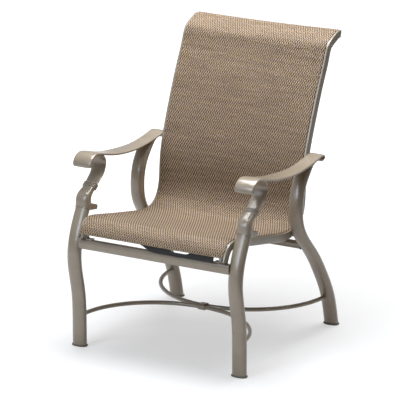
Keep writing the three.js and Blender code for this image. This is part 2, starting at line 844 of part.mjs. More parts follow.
const clamp_y = clamp_place_share * foot_spread;
const rod_offset = rod_radius + rod_gap / 2;
add("bow_rod_front", bow_rod(front_leg, 1, clamp_y - rod_offset), "frame_paint");
add("bow_rod_rear", bow_rod(rear_leg, -1, clamp_y + rod_offset), "frame_paint");
add("rod_clamp", rod_clamp(clamp_y), "frame_paint");

// Assembly of the sling and its rails.
const pin_places = [
  ...spreader_places.map(({ y, z }) => ({ radius: screw_radius, y, z })),
  { radius: bolt_radius, y: bolt_place.y, z: bolt_place.z },
];
sides.forEach(([name, side]) => {
  add(`sling_rail_${name}`, sling_rail(side, pin_places), "rail_paint");
  add(`spline_cord_${name}`, spline_cord(side), "cord_vinyl");
  add(`rail_cap_lower_${name}`, rail_cap(side, false), "cap_plastic");
  add(`rail_cap_upper_${name}`, rail_cap(side, true), "cap_plastic");
  add(`nose_bracket_${name}`, nose_bracket(side, front_y, front_top + seat_gap), "rail_paint");
});
add("sling_cloth", sling(), "sling_weave");
spreader_names.forEach((name, i) => {
  add(`spreader_bar_${name}`, spreader_bar(spreader_places[i]), "rail_paint");
});

// Fasteners: the spreader screws, and the seat bolts with their spacers and nuts.
const screw_start = rail_outer_x + seat_gap + screw_head_height;
const bolt_start = rail_inner_x - seat_gap - bolt_head_height;
const nut_start = leg_inner_x + tube_wall + nut_setback;
const bolt_length = nut_start + nut_height - bolt_start - bolt_head_height + bolt_radius / 2;
const spacer_height = rail_to_frame - 2 * seat_gap;
const screw_profile = headed_pin(
  screw_head_radius,
  screw_head_height,
  screw_radius,
  screw_length,
);
const bolt_profile = headed_pin(bolt_head_radius, bolt_head_height, bolt_radius, bolt_length);
const spacer_profile = ring(bolt_radius + weld_gap, spacer_radius, spacer_height);
const nut_profile = ring(bolt_radius + weld_gap, nut_radius, nut_height);

sides.forEach(([name, side]) => {
  spreader_names.forEach((place, i) => {
    const { y, z } = spreader_places[i];
    const screw = turned(screw_profile, side * screw_start, -side, y, z, 8);
    add(`spreader_screw_${place}_${name}`, screw, "fastener_steel");
  });
  const { y, z } = bolt_place;
  const spacer = turned(spacer_profile, side * (rail_outer_x + seat_gap), side, y, z);
  add(`seat_bolt_${name}`, turned(bolt_profile, side * bolt_start, side, y, z), "fastener_steel");
  add(`seat_spacer_${name}`, spacer, "fastener_steel");
  add(`seat_nut_${name}`, turned(nut_profile, side * nut_start, side, y, z), "fastener_steel");
});

// The origin is on the floor, under the middle of the chair.
const extent = new THREE.Box3().setFromObject(chair);
chair.position.y = -(extent.min.y + extent.max.y) / 2;

export default chair;
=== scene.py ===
"""Sling patio dining armchair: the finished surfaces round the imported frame, and a plain studio.

Sizes are in millimetres and become metres where a mesh is made. Y is measured from the middle of
the front feet while a piece is drawn. The sitter faces -Y, so the sitter's left side is at +X."""

import math
from functools import partial

import bpy
import numpy as np
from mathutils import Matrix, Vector


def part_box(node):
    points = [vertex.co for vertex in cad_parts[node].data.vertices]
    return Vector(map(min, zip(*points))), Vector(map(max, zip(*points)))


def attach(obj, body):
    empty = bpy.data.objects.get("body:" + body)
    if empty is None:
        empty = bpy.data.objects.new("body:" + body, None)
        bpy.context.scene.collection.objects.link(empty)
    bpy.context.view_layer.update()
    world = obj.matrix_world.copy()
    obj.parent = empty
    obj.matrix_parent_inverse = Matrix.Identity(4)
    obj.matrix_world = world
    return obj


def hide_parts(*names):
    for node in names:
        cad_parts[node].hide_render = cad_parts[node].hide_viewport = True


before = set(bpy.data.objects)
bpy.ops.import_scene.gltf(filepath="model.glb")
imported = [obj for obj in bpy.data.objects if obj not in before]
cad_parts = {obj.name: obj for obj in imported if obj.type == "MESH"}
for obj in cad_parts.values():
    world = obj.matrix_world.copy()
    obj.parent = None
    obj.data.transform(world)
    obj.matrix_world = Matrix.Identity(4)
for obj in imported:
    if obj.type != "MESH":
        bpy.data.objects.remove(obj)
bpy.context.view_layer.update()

MM = 0.001
UP = np.array([0.0, 0.0, 1.0])
ACROSS = np.array([1.0, 0.0, 0.0])
FORWARD = np.array([0.0, -1.0, 0.0])
SIDES = {"left": 1, "right": -1}

# The feet give the side frames' planes and the spread that every share below follows.
front_foot = sum(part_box("foot_cap_front_left"), Vector()) / 2 / MM
rear_foot = sum(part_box("foot_cap_rear_left"), Vector()) / 2 / MM
frame_half_width = front_foot.x
foot_spread = rear_foot.y - front_foot.y
arm_height = 640
seat_height = 446
back_height = 988

# Side frame tube and foot caps.
tube_width = 50
tube_depth = 29
tube_roundness = 2.4
cap_height = 5
cap_overhang = 3
cap_bevel = 1.5
seat_gap = 0.3

# Stretchers, bow rods and the clamp that ties the rods.
front_stretcher_height = 36
front_stretcher_depth = 22
front_stretcher_setback = 1.5
rear_stretcher_height = 27
rear_stretcher_depth = 20
rear_stretcher_share = 0.7175
stretcher_roundness = 2.4
cope_share = 0.6
rod_radius = 7
rod_inset = 6
rod_level = 105
rod_gap = 2
clamp_length = 24
clamp_wall = 2.4
clamp_clearance = 1
clamp_place_share = 0.462

# Arm straps and arm posts.
strap_thickness = 8
strap_crown = 1.6
strap_edge = 2.2
strap_width = 65
strap_front_width = 70
strap_rear_width = 54
strap_corner = 5
post_roundness = 3.0
ear_length = 80
ear_thickness = 16
ear_root_height = 30
ear_tip_radius = 8.5
ear_edge = 2.5

# Sling rails, their end caps and brackets.
rail_width = 22
rail_depth = 26
rail_corner = 3
rail_to_frame = 2
slot_setback = 9.5
slot_mouth = 3.2
slot_lip = 3
slot_bore_radius = 3.9
rail_cap_thickness = 2.4
rail_cap_edge = 1
bracket_sheet = 3
bracket_reach = 24
bracket_width = 17
bracket_rise = 20

# Sling cloth.
cloth_thickness = 1.6
cloth_tongue = 3.6
cloth_gap = 0.3
seat_sag = 6
seat_to_back_shares = (0.4, 0.6)
sling_inset_front = 14
sling_inset_top = 9
hem_length = 26
hem_thickness = 1.1
hem_step = 1
# The strip of painted shade under the front hem, and how thick it is.
shade_strip_thickness = 0.9

# Spreader bars and fasteners.
spreader_radius = 11
spreader_chamfer = 0.8
screw_head_radius = 5.5
screw_head_height = 2.6
bolt_head_radius = 7
bolt_head_height = 4.5
spacer_radius = 9
spacer_chamfer = 0.4

# Weld beads: their radii by joint, and the scales along them.
weld_radii = {
    "collar": 1.3, "strap": 1.8, "rod": 1.5, "front_stretcher": 1.6, "rear_stretcher": 2.0,
}
scale_length = 2.6
scale_dip = 0.22

# Lines of the side frame, as shares of the foot spread and of a height.
front_leg_shares = [
    (0, 0), (0, 0.13), (0, 0.247), (-0.019, 0.336), (-0.042, 0.43),
    (-0.046, 0.51), (-0.019, 0.61), (0.0207, 0.6833), (0.0418, 0.7188),
]
rear_leg_shares = [
    (1, 0), (0.982, 0.078), (0.957, 0.177), (0.862, 0.32), (0.775, 0.4375), (0.665, 0.537),
    (0.596, 0.627), (0.585, 0.712), (0.595, 0.8), (0.635, 0.875), (0.71, 0.945),
]
post_line_shares = [
    (0.0495, 0.75), (0.05, 0.772), (0.063, 0.7915), (0.1, 0.811), (0.127, 0.83), (0.156, 0.853),
    (0.189, 0.875), (0.204, 0.909), (0.209, 0.944), (0.188, 0.97), (0.162, 0.982),
]
strap_line_shares = [
    (0.0348, 0.939), (0.033, 0.958), (0.044, 0.98), (0.072, 0.9995), (0.11, 1.006),
    (0.156, 0.995), (0.227, 0.975), (0.324, 0.955), (0.454, 0.942), (0.583, 0.9375),
    (0.697, 0.95), (0.776, 0.963), (0.826, 0.974), (0.844, 0.942), (0.808, 0.93),
]
seat_line_shares = [
    (-0.083, 0.865), (-0.0745, 0.908), (-0.04, 0.985), (0.034, 1.004), (0.176, 0.956),
    (0.357, 0.908), (0.502, 0.868), (0.62, 0.848), (0.7, 0.894),
]
back_line_shares = [
    (0.737, 0.006), (0.738, 0.106), (0.752, 0.228), (0.791, 0.364), (0.853, 0.54),
    (0.924, 0.727), (0.977, 0.832), (1.005, 0.934), (1.041, 0.958), (1.094, 0.985),
    (1.136, 1.003), (1.159, 0.995),
]
strap_taper_shares = (0.12, 0.3, 0.45, 0.72)

# The cast post: share of its length, then half width and half depth as shares of the tube's.
urn_shares = [
    (0, 0.5, 0.545), (0.02, 0.506, 0.57), (0.06, 0.511, 0.597), (0.1, 0.511, 0.6),
    (0.14, 0.503, 0.59), (0.18, 0.485, 0.555), (0.23, 0.455, 0.49), (0.28, 0.43, 0.44),
    (0.343, 0.41, 0.39), (0.38, 0.41, 0.38),
]
ribbon_shares = [
    (0.42, 0.462, 0.19), (0.5, 0.49, 0.15), (0.68, 0.525, 0.138), (0.85, 0.56, 0.138),
    (1, 0.6, 0.138),
]
ring_places_shares = (0.3575, 0.3865, 0.4155)
ring_reach_share = 0.0135
ring_shares = (0.505, 0.49)
groove_shares = (0.43, 0.37)
groove_reach = 1.08
urn_blend_share = 0.03
ear_root_share = 0.031
ear_slope = math.radians(-14.5)
# The strip of painted shade under the front hem: how far it hangs, as shares of the hem, at shares
# of the half width.
shade_strip_drop_shares = [
    (-0.16, 0), (-0.09, 0.3), (-0.03, 0.64), (0.05, 0.72), (0.3, 0.74), (0.6, 0.7), (0.92, 0.64),
]
shade_strip_slit_shares = (0.2, 0.33, 0.5, 0.62)
spreader_place_shares = {"seat": 0.1, "lumbar": 0.55, "top": 0.93}

# How finely the pieces are drawn.
long_step = 7
fine_step = 1.2
bead_step = 0.65
cloth_step = 6
ring_step = 0.5
line_samples = 1500


class Line:
    """A smooth line in the side plane through a clamped cubic control polygon."""

    def __init__(self, control):
        control = np.array(control, float)
        inner = len(control) - 4
        knots = np.concatenate([[0] * 4, np.arange(1, inner + 1) / (inner + 1), [1] * 4])
        places = np.linspace(0, 1 - 1e-9, line_samples)
        weights = [((knots[i] <= places) & (places < knots[i + 1])) * 1.0
                   for i in range(len(knots) - 1)]
        for degree in (1, 2, 3):
            for i in range(len(knots) - 1 - degree):
                rise, fall = knots[i + degree] - knots[i], knots[i + degree + 1] - knots[i + 1]
                left = (places - knots[i]) / rise * weights[i] if rise else 0
                right = (knots[i + degree + 1] - places) / fall * weights[i + 1] if fall else 0
                weights[i] = left + right
        self.spots = np.array(weights[:len(control)]).T @ control
        steps = np.linalg.norm(np.diff(self.spots, axis=0), axis=1)
        self.reach = np.concatenate([[0], np.cumsum(steps)])
        self.length = self.reach[-1]
        slopes = np.gradient(self.spots, self.reach, axis=0)
        self.slopes = slopes / np.linalg.norm(slopes, axis=1)[:, None]

    def at(self, distance):
        """Places (y, z) and unit directions at distances from the line's start."""
        return [np.stack([np.interp(distance, self.reach, column) for column in table.T], -1)
                for table in (self.spots, self.slopes)]

    def at_level(self, level):
        """The distance at which the line crosses a height."""
        return self.reach[np.abs(self.spots[:, 1] - level).argmin()]

    def beside(self, y, z):
        """How far a place lies in front of the line, across it."""
        gaps = np.hypot(self.spots[:, 0] - y, self.spots[:, 1] - z)
        i = gaps.argmin()
        away = np.array([y, z]) - self.spots[i]
        return away[1] * self.slopes[i, 0] - away[0] * self.slopes[i, 1]


def share_points(shares, low, high):
    return [(y * foot_spread, low + z * (high - low)) for y, z in shares]


leg_base = cap_height + seat_gap
front_leg = Line(share_points(front_leg_shares, leg_base, arm_height))
rear_leg = Line(share_points(rear_leg_shares, leg_base, arm_height))
strap = Line(share_points(strap_line_shares, 0, arm_height))
post_base = front_leg.spots[-1]
post = Line([
    post_base,
    post_base + front_leg.slopes[-1] * ear_tip_radius,
    *share_points(post_line_shares, 0, arm_height),
])
rail = Line([
    *share_points(seat_line_shares, 0, seat_height),
    *share_points(back_line_shares, seat_height, back_height),
])
rail_outer_x = frame_half_width - tube_width / 2 - rail_to_frame
rail_inner_x = rail_outer_x - rail_width
slot_x = rail_outer_x - slot_setback
slot_bore_depth = slot_lip + math.sqrt(slot_bore_radius ** 2 - (slot_mouth / 2) ** 2)
rail_axis_depth = (slot_bore_depth + slot_bore_radius + rail_depth) / 2


def smooth(share, start, end):
    t = np.clip((np.asarray(share, float) - start) / (end - start), 0, 1)
    return t * t * (3 - 2 * t)


def spread(start, end, step):
    """Even distances from start to end, about a step apart."""
    return np.linspace(start, end, max(2, round(abs(end - start) / step) + 1))


def oval(half_width, half_depth, roundness, count=48):
    """An ellipse where roundness is 2, and squarer above it."""
    angle = np.arange(count) / count * math.tau
    way = np.stack([np.cos(angle), np.sin(angle)], -1)
    return np.sign(way) * np.abs(way) ** (2 / roundness) * [half_width, half_depth]


leg_tube = oval(tube_width / 2, tube_depth / 2, tube_roundness)


def rounded(left, right, low, high, radius, count=6):
    """A rectangle with round corners, counter-clockwise."""
    least_flat = 0.01
    half = np.array([right - left, high - low]) / 2
    radius = min(radius, *(half - least_flat))
    points = []
    for turn, way in enumerate(((1, 1), (-1, 1), (-1, -1), (1, -1))):
        corner = np.array([left, low]) + half + way * (half - radius)
        for angle in np.linspace(0, math.pi / 2, count) + turn * math.pi / 2:
            points.append(corner + [radius * math.cos(angle), radius * math.sin(angle)])
    return np.array(points)


def square_to(slope):
    """The direction across a line in the side plane, to the sitter's side of it."""
    return np.array([0, -slope[1], slope[0]])


def quarter(radius, count):
    """A quarter round edge, as pairs of distances in from its two faces."""
    angle = np.linspace(0, math.pi / 2, count)
    return radius * (1 - np.stack([np.cos(angle), np.sin(angle)], -1))


def side_rings(line, distances, sections, side, x=frame_half_width):
    """Sections set square to a line in a side plane. Their second direction points to the
    sitter's side of the line."""
    rings = []
    for spot, slope, section in zip(*line.at(distances), sections):
        at = np.array([side * x, *spot])
        rings.append(at + section[:, :1] * side * ACROSS + section[:, 1:] * square_to(slope))
    return rings


def finish_mesh(name, spots, faces, finish, sharp=40, uv=None, solid=None):
    """Makes a piece that rides on the frame, with its faces pointing out."""
    material, slot = finish
    spots = np.asarray(spots, float)
    volume = sum(np.dot(spots[f[0]], np.cross(spots[f[i]], spots[f[i + 1]]))
                 for f in faces for i in range(1, len(f) - 1))
    if volume < 0:
        faces = [tuple(reversed(f)) for f in faces]
    placed = (spots + [0, front_foot.y, 0]) * MM
    mesh = bpy.data.meshes.new(name)
    mesh.from_pydata(placed.tolist(), [], [tuple(map(int, f)) for f in faces])
    mesh.polygons.foreach_set("use_smooth", [True] * len(mesh.polygons))
    mesh.set_sharp_from_angle(angle=math.radians(sharp))
    if uv is not None:
        layer = mesh.uv_layers.new(name="weave")
        for loop in mesh.loops:
            layer.data[loop.index].uv = uv[loop.vertex_index]
    mesh.materials.append(material)
    piece = bpy.data.objects.new(name, mesh)
    bpy.context.scene.collection.objects.link(piece)
    if solid:
        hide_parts(solid)
    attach(piece, "root")
    return piece


def ring_faces(rows, count, around=False):
    """The faces between rings, and over the two ends unless the last ring meets the first."""
    faces = []
    for i in range(rows if around else rows - 1):
        low, high = i * count, (i + 1) % rows * count
        faces += [(low + k, low + (k + 1) % count, high + (k + 1) % count, high + k)
                  for k in range(count)]
    if not around:
        faces.append(tuple(range(count))[::-1])
        faces.append(tuple(range((rows - 1) * count, rows * count)))
    return faces


def loft(name, rings, finish, around=False, **more):
    """A closed piece through rings with the same number of points."""
    faces = ring_faces(len(rings), len(rings[0]), around)
    return finish_mesh(name, np.concatenate(rings), faces, finish, **more)


def turned_rings(profile, start, way, y, z, count=36):
    """Rings of a turned piece whose axis runs across the chair: (radius, distance) pairs. A
    radius that changes all round comes as one value for each point."""
    angle = np.arange(count) / count * math.tau
    rings = []
    for radius, distance in profile:
        x = np.full(count, start + way * distance)
        rings.append(np.stack([x, y + radius * np.cos(angle), z + radius * np.sin(angle)], -1))
    return rings


def chamfered(radius, length, edge, stations=()):
    """The profile of a turned piece with broken edges, faced off almost to its axis."""
    centre = radius * 0.4
    middle = [(radius, length * share) for share in stations]
    return [(centre, 0), (radius - edge, 0), (radius, edge), *middle,
            (radius, length - edge), (radius - edge, length), (centre, length)]


def linear(hex_value):
    """An sRGB hex colour as linear light."""
    parts = [((hex_value >> shift) & 255) / 255 for shift in (16, 8, 0)]
    return (*[c / 12.92 if c <= 0.04045 else ((c + 0.055) / 1.055) ** 2.4 for c in parts], 1)


def add_node(tree, kind, inputs=(), output=0, **settings):
    """Adds a node, sets or links its inputs, by name or in order, and gives an output."""
    node = tree.nodes.new("ShaderNode" + kind)
    for name, value in settings.items():
        setattr(node, name, value)
    named = inputs if isinstance(inputs, dict) else dict(enumerate(inputs))
    for name, value in named.items():
        if isinstance(value, bpy.types.NodeSocket):
            tree.links.new(value, node.inputs[name])
        else:
            node.inputs[name].default_value = value
    return node.outputs[output] if node.outputs else None


# Settings that nodes share: a blend of colours, and a range with soft ends. A MapRange takes a
# value, the two ends that it comes from, and the two that it goes to.
COLOURS = {"data_type": "RGBA", "output": 2}
EASED = {"interpolation_type": "SMOOTHSTEP"}


def new_material(name):
    """An empty material, and the function that adds nodes to it."""
    material = bpy.data.materials.new(name)
    material.use_nodes = True
    material.node_tree.nodes.clear()
    return material, partial(add_node, material.node_tree)


def grained(add, size, detail, shade, colour):
    """A grain of a real size in millimetres, and the two colours that it blends."""
    place = add("TexCoord", output=3)
    grain = add("TexNoise", {"Vector": place, "Scale": 1 / (size * MM), "Detail": detail})
    return grain, add("Mix", {"Factor": grain, 6: linear(shade), 7: linear(colour)}, **COLOURS)


def powder_coat(name, colour, shade):
    """Aluminium with a sprayed and baked polyester powder: a satin taupe with a little metal
    pigment under a clear skin, which flows a little round edges. It gives the eye soft long
    highlights, a faint orange peel and a fine speckle."""
    peel_size = 3.5
    speckle_size = 0.9
    patch_size = 60
    peel_depth = 0.2
    material, add = new_material(name)
    place = add("TexCoord", output=3)
    peel, speckle, patch = [
        add("TexNoise", {"Vector": place, "Scale": 1 / (size * MM), "Detail": detail})
        for size, detail in ((peel_size, 2.0), (speckle_size, 1.0), (patch_size, 3.0))
    ]
    tone = add("Math", (speckle, patch), operation="ADD")
    blend = add("MapRange", (tone, 0.7, 1.3))
    paint = add("Mix", {"Factor": blend, 6: linear(shade), 7: linear(colour)}, **COLOURS)
    gloss = add("MapRange", (patch, 0.3, 0.7, 0.29, 0.37))
    bump = add("Bump", {"Height": peel, "Strength": 0.12, "Distance": peel_depth * MM})
    shader = add("BsdfPrincipled", {
        "Base Color": paint, "Metallic": 0.1, "Roughness": gloss, "Normal": bump,
        "Coat Weight": 1.0, "Coat Roughness": 0.22,
    })
    add("OutputMaterial", {"Surface": shader})
    return material


def moulded_plastic(name, colour, shade):
    """Injection moulded nylon, coloured right through: a dull even skin with a fine spark
    texture from the mould."""
    spark_size = 0.7
    spark_depth = 0.1
    material, add = new_material(name)
    spark, tone = grained(add, spark_size, 3.0, shade, colour)
    bump = add("Bump", {"Height": spark, "Strength": 0.25, "Distance": spark_depth * MM})
    shader = add("BsdfPrincipled", {"Base Color": tone, "Roughness": 0.55, "Normal": bump})
    add("OutputMaterial", {"Surface": shader})
    return material


def extruded_vinyl(name, colour, shade):
    """Solid vinyl cord from an extruder: dull, with faint clouds in its colour."""
    cloud_size = 2
    material, add = new_material(name)
    _, tone = grained(add, cloud_size, 2.0, shade, colour)
    shader = add("BsdfPrincipled", {"Base Color": tone, "Roughness": 0.6})
    add("OutputMaterial", {"Surface": shader})
    return material


def turned_steel(name, colour, shade):
    """Stainless steel fasteners, turned and left plain: bright, with fine tool marks that blur
    the reflections."""
    mark_size = 0.4
    material, add = new_material(name)
    mark, tone = grained(add, mark_size, 4.0, shade, colour)
    rough = add("MapRange", (mark, 0.0, 1.0, 0.24, 0.4))
    shader = add("BsdfPrincipled", {"Base Color": tone, "Metallic": 1.0, "Roughness": rough})
    add("OutputMaterial", {"Surface": shader})
    return material


def thread_and_shade_strip_finish(name, colour, shade):
    """Polyester yarn, twisted for sewing: a slight sheen and a fine twist. In near-black it also
    colours the strip of painted shade under the front hem."""
    twist_size = 0.6
    bands_per_scale = 20
    material, add = new_material(name)
    place = add("TexCoord", output=3)
    twist = add("TexWave", {"Vector": place, "Scale": 1 / (twist_size * MM) / bands_per_scale},
                bands_direction="DIAGONAL")
    tone = add("Mix", {"Factor": twist, 6: linear(shade), 7: linear(colour)}, **COLOURS)
    shader = add("BsdfPrincipled", {"Base Color": tone, "Roughness": 0.65, "Sheen Weight": 0.2})
    add("OutputMaterial", {"Surface": shader})
    return material


def woven_sling(name):
    """Vinyl coated polyester yarn woven in groups: three light warp yarns float over five brown
    weft yarns and back, like a basket. It gives the eye short light dashes in offset columns,
    dark dashes between them, and slubs that streak across the sling."""
    column = 4.33
    row = 8.27
    warp_yarn = column / 3
    weft_yarn = row / 5
    lean_share = 0.16
    hem_light = 0.16
    fleck_share = 0.9
    crossing = 0.24
    crown_depth = 0.5
    material, add = new_material(name)

    place = add("UVMap", uv_map="weave")
    parts = add("SeparateXYZ", (place,)).node.outputs
    across, along = parts["X"], parts["Y"]

    def turns(value, period):
        return add("Math", (value, math.tau / period), operation="MULTIPLY")

    def unevenness(size_across, size_along, detail=2.0):
        """Clouds of a real size across and along the sling."""
        per_cloud = (1 / size_across, 1 / size_along, 0.0)
        scaled = add("VectorMath", (place, per_cloud), operation="MULTIPLY")
        return add("TexNoise", {"Vector": scaled, "Scale": 1.0, "Detail": detail})

    fleck = unevenness(column * 0.8, row * 0.6, 1.0)
    patch = unevenness(42, 12)
    slub = unevenness(70, 3.2, 3.0)
    streak = unevenness(160, 14)
    hue = unevenness(45, 10)

    # Over and under: a brick lattice of cells, with a slight lean to one diagonal.
    column_turn, row_turn = turns(across, 2 * column), turns(along, 2 * row)
    waves = [add("Math", (turn,), operation="SINE") for turn in (column_turn, row_turn)]
    lattice = add("Math", waves, operation="MULTIPLY")
    falling = add("Math", (column_turn, row_turn), operation="SUBTRACT")
    rising = add("Math", (column_turn, row_turn), operation="ADD")
    lean = add("Math", (falling,), operation="COSINE")
    twill = add("Math", (rising,), operation="COSINE")
    weave = add("Math", (lean, lean_share, lattice), operation="MULTIPLY_ADD")

    # The seat is pulled tight, so its floats line up in diagonal ribs. They end where the back
    # starts and fade out over the front hem, which is lighter.
    pulled = add("MapRange", (along, 400.0, 540.0, -0.75, 0.0), **EASED)
    behind_hem = add("MapRange", (along, 45.0, 120.0, 0.1, 1.0), **EASED)
    ribs = add("Math", (twill, behind_hem), operation="MULTIPLY")
    ribbed = add("Math", (ribs, pulled, weave), operation="MULTIPLY_ADD")
    lighter = add("Math", (behind_hem, -hem_light, hem_light), operation="MULTIPLY_ADD")
    lit = add("Math", (ribbed, lighter), operation="ADD")

    flecked = add("Math", (fleck, 0.5), operation="SUBTRACT")
    uneven = add("Math", (flecked, fleck_share, lit), operation="MULTIPLY_ADD")
    crossed = add("MapRange", (uneven, -crossing, crossing), **EASED)
    clear = add("MapRange", (patch, 0.35, 0.65, 0.7, 1.0))
    centred = add("Math", (crossed, 0.5), operation="SUBTRACT")
    over = add("Math", (centred, clear, 0.5), operation="MULTIPLY_ADD")

    # Each yarn varies between two colours. A faint tint and streaks run over both.
    light, dark, tint = [
        add("Mix", {
            "Factor": add("MapRange", (cloud, low, 1 - low)),
            6: linear(shade), 7: linear(colour),
        }, **COLOURS)
        for cloud, low, shade, colour in (
            (fleck, 0.3, 0xAB967D, 0xD6C5B1),
            (slub, 0.35, 0x1F1810, 0x574838),
            (hue, 0.35, 0xF4E3C8, 0xF2E4DC),
        )
    ]
    woven = add("Mix", {"Factor": over, 6: dark, 7: light}, **COLOURS)
    tinted = add("Mix", {"Factor": 1.0, 6: woven, 7: tint}, **COLOURS, blend_type="MULTIPLY")
    brightness = add("MapRange", (streak, 0.3, 0.7, 0.86, 1.14))
    streaked = add("HueSaturation", {"Color": tinted, "Value": brightness})

    # Single yarns stand round inside each group, and the warp floats stand highest.
    under = add("Math", (1.0, over), operation="SUBTRACT")
    crowns = []
    for value, yarn, shown in ((across, warp_yarn, over), (along, weft_yarn, under)):
        wave = add("Math", (turns(value, 2 * yarn),), operation="SINE")
        crown = add("Math", (wave,), operation="ABSOLUTE")
        crowns.append(add("Math", (crown, shown), operation="MULTIPLY"))
    yarns = add("Math", crowns, operation="ADD")
    halved = add("Math", (yarns, 0.5), operation="MULTIPLY")
    height = add("Math", (over, 1.1, halved), operation="MULTIPLY_ADD")
    bump = add("Bump", {"Height": height, "Strength": 0.6, "Distance": crown_depth * MM})
    shader = add("BsdfPrincipled", {
        "Base Color": streaked, "Roughness": 0.62, "Normal": bump,
        "Sheen Weight": 0.08, "Specular IOR Level": 0.35,
    })
    add("OutputMaterial", {"Surface": shader})
    return material


# Each finish: its material, and the slot of the record that it stands for.
frame_coat = powder_coat("powder_coated_aluminium_frame", 0xAF9D87, 0x9D8C76), "frame_paint"
rail_coat = powder_coat("powder_coated_aluminium_rail", 0xA99A86, 0x988A76), "rail_paint"
cap_nylon = moulded_plastic("moulded_nylon_caps", 0x8F867C, 0x7E756B), "cap_plastic"
cord_vinyl = extruded_vinyl("extruded_vinyl_cord", 0x4B443D, 0x3C3630), "cord_vinyl"
plain_steel = turned_steel("turned_stainless_steel", 0xBDBDBB, 0x9D9D9B), "fastener_steel"
sling_weave = woven_sling("woven_vinyl_coated_polyester"), "sling_weave"
thread = thread_and_shade_strip_finish("bonded_polyester_thread", 0x9A8870, 0x7A6A55), "sling_weave"
# Near-black, for the strip of painted shade under the sling's front edge.
painted_shade_strip = thread_and_shade_strip_finish("painted_shade_under_hem", 0x221D15, 0x16120D), "sling_weave"


def strap_underside(y):
    """The height of the strap's underside over a place between its scroll and its curl."""
    reach = spread(strap.length * 0.14, strap.length * 0.86, fine_step)
    spots, slopes = strap.at(reach)
    under = spots - strap_thickness * slopes[:, ::-1] * [-1, 1]
    return np.interp(y, under[:, 0], under[:, 1])


def leg_rings(line, side):
    """A bent tube whose lower end is cut level."""
    distances = spread(0, line.length, long_step)
    rings = side_rings(line, distances, [leg_tube] * len(distances), side)
    level = np.array([side * ACROSS, FORWARD / line.slopes[0][1]])
    rings[0] = np.array([side * frame_half_width, *line.spots[0]]) + leg_tube @ level
    return rings


def leg_tubes():
    """The front legs end under the posts. The rear legs are cut to the underside of the arms."""
    cut_rings = 12
    cut_depth = 1.2
    for name, side in SIDES.items():
        loft(f"tube_front_leg_{name}", leg_rings(front_leg, side), frame_coat,
             solid=f"front_leg_{name}")
        rings = leg_rings(rear_leg, side)
        for ring in rings[-cut_rings:]:
            ring[:, 2] = np.minimum(ring[:, 2], strap_underside(ring[:, 1]) + cut_depth)
        loft(f"tube_rear_leg_{name}", rings, frame_coat, solid=f"rear_leg_{name}")


def foot_caps():
    """Pushed-in end caps: a flange with a soft edge that shows under the tube."""
    flange = tube_width / 2 + cap_overhang
    lower = [(z, inset) for inset, z in cap_bevel - quarter(cap_bevel, 6)]
    upper = [(cap_height - 0.6, 0.0), (cap_height - 0.15, 0.2), (cap_height, 0.8),
             (cap_height, cap_overhang)]
    for name, side in SIDES.items():
        for end, line in (("front", front_leg), ("rear", rear_leg)):
            depth = tube_depth / 2 / line.slopes[0][1] + cap_overhang
            rings = []
            for z, inset in lower + upper:
                ring = oval(flange - inset, depth - inset, tube_roundness)
                at = np.array([side * frame_half_width, line.spots[0][0], z])
                rings.append(at + ring @ np.array([ACROSS, FORWARD]))
            loft(f"moulded_foot_{end}_{name}", rings, cap_nylon, solid=f"foot_cap_{end}_{name}")


def strap_half_width(share):
    start, end, rear_start, rear_end = strap_taper_shares
    width = strap_front_width + (strap_width - strap_front_width) * smooth(share, start, end)
    return (width + (strap_rear_width - width) * smooth(share, rear_start, rear_end)) / 2


def strap_section(half):
    """Flat bar with a crowned top: the crown and the round edges come from forging."""
    flat = half - strap_edge
    edge = (strap_thickness - strap_crown) / 2
    middle = -strap_crown - edge
    top = [(x, -strap_crown * abs(x / half) ** 3) for x in np.linspace(flat, -flat, 13)]
    right = [(strap_edge * (1 - math.cos(a)) - half, middle + edge * math.sin(a))
             for a in np.linspace(1.2, -1.2, 9)]
    left = [(-x, y) for x, y in reversed(right)]
    under = [(x, -strap_thickness) for x in np.linspace(-flat, flat, 5)]
    return np.array(top + right + under + left)


def arm_straps():
    near_end = quarter(strap_corner, 7)[:, 0]
    reach = np.concatenate([
        near_end, spread(strap_corner, strap.length - strap_corner, 4)[1:-1],
        strap.length - near_end[::-1],
    ])
    halves = []
    for distance in reach:
        inner = strap_corner - min(distance, strap.length - distance, strap_corner)
        pull = strap_corner - math.sqrt(max(strap_corner ** 2 - inner ** 2, 0))
        halves.append(strap_half_width(distance / strap.length) - pull)
    for name, side in SIDES.items():
        rings = side_rings(strap, reach, [strap_section(half) for half in halves], side)
        loft(f"forged_arm_{name}", rings, frame_coat, sharp=50, solid=f"arm_strap_{name}")


def arm_posts():
    """The casting: a rounded urn, three half-round rings and a ribbon that runs up under the
    strap. The ear is cast on behind the foot of the urn."""
    rings_end = post.length * 0.48
    reach = np.concatenate([
        spread(seat_gap, rings_end, ring_step), spread(rings_end, post.length, 2)[1:],
    ])
    sizes = [post_sizes(reach / post.length, i) for i in (0, 1)]
    sections = [oval(w * tube_width, d * tube_depth, post_roundness, 64)
                for w, d in zip(*sizes)]
    for name, side in SIDES.items():
        loft(f"cast_post_{name}", side_rings(post, reach, sections, side), frame_coat, sharp=80,
             solid=f"arm_post_{name}")
        ear(name, side)


def post_sizes(share, i):
    """The post's half width (0) or half depth (1) as a share of the tube's."""
    urn, ribbon = np.array(urn_shares), np.array(ribbon_shares)
    steps = np.linspace(-urn_blend_share, urn_blend_share, 13)
    body = np.mean([np.interp(share + d, urn[:, 0], urn[:, i + 1]) for d in steps], axis=0)
    body = np.where(share > ribbon[0, 0], np.interp(share, ribbon[:, 0], ribbon[:, i + 1]), body)
    for place in ring_places_shares:
        away = np.abs(share - place) / ring_reach_share
        bulge = np.sqrt(np.clip(1 - away ** 2, 0, 1))
        ring = groove_shares[i] + (ring_shares[i] - groove_shares[i]) * bulge
        body = np.where(away < groove_reach, ring, body)
    return body


